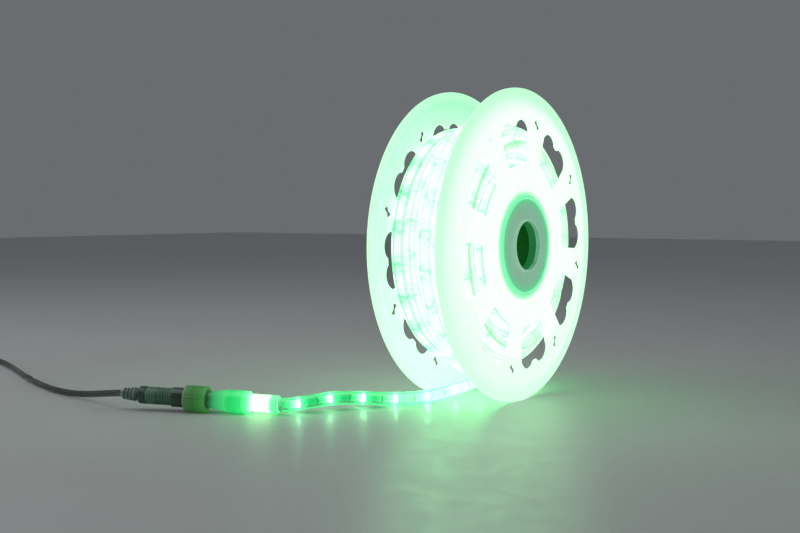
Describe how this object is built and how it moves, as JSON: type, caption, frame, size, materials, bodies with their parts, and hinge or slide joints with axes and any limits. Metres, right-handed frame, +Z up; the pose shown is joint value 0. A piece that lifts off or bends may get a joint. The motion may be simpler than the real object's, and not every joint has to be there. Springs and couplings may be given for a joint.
{
  "type": "led rope light",
  "caption": "Clear rope light wound on an open plastic reel, its lit loose end joined by a screw connector to a coiled power lead with a two-blade plug.",
  "frame": {"origin": "on the floor under the middle of the reel's axis", "axes": "+X along the reel's axis towards the near flange, +Z up, the rope's loose end leaves towards -Y and -X"},
  "size_m": [0.7638, 0.4402, 0.3097],
  "materials": {
    "reel_clear": "frosted clear moulding, lit green by the rope",
    "core_tube": "matt",
    "rope_lit": "clear soft plastic, lit bright green from inside",
    "sleeve_clear": "clear, glowing",
    "connector_green": "translucent, lit from the rope",
    "nut_olive": "translucent with fine ribs",
    "lead_connector": "clear, smoky",
    "contact_dark": "matt",
    "cap_teal": "translucent",
    "relief_clear": "clear",
    "lead_clear": "clear skin over two dark cores",
    "tie_black": "matt",
    "plug_moulded": "smoky moulding",
    "blade_metal": "plated"
  },
  "bodies": {
    "rope_light": {"reel_flange_near": "reel_clear", "reel_flange_far": "reel_clear", "reel_core_tube": "core_tube", "rope_coil": "rope_lit", "rope_tail": "rope_lit", "rope_end_sleeve": "sleeve_clear", "rope_connector": "connector_green", "lead_connector": "lead_connector", "contact_block": "contact_dark", "cable_entry_cap": "cap_teal", "strain_relief": "relief_clear", "lead_cord": "lead_clear", "lead_coil": "lead_clear", "lead_cord_end": "lead_clear", "lead_coil_tie": "tie_black", "power_plug": "plug_moulded", "plug_blade_left": "blade_metal", "plug_blade_right": "blade_metal"},
    "nut": {"coupling_nut": "nut_olive"}
  },
  "joints": [
    {"name": "nut_turn", "type": "hinge", "parent": "rope_light", "child": "nut", "pos_m": [-0.18343, -0.22786, 0.01255], "axis": [-0.9101, -0.4128, 0.0369], "range_deg": [0, 540]}
  ]
}
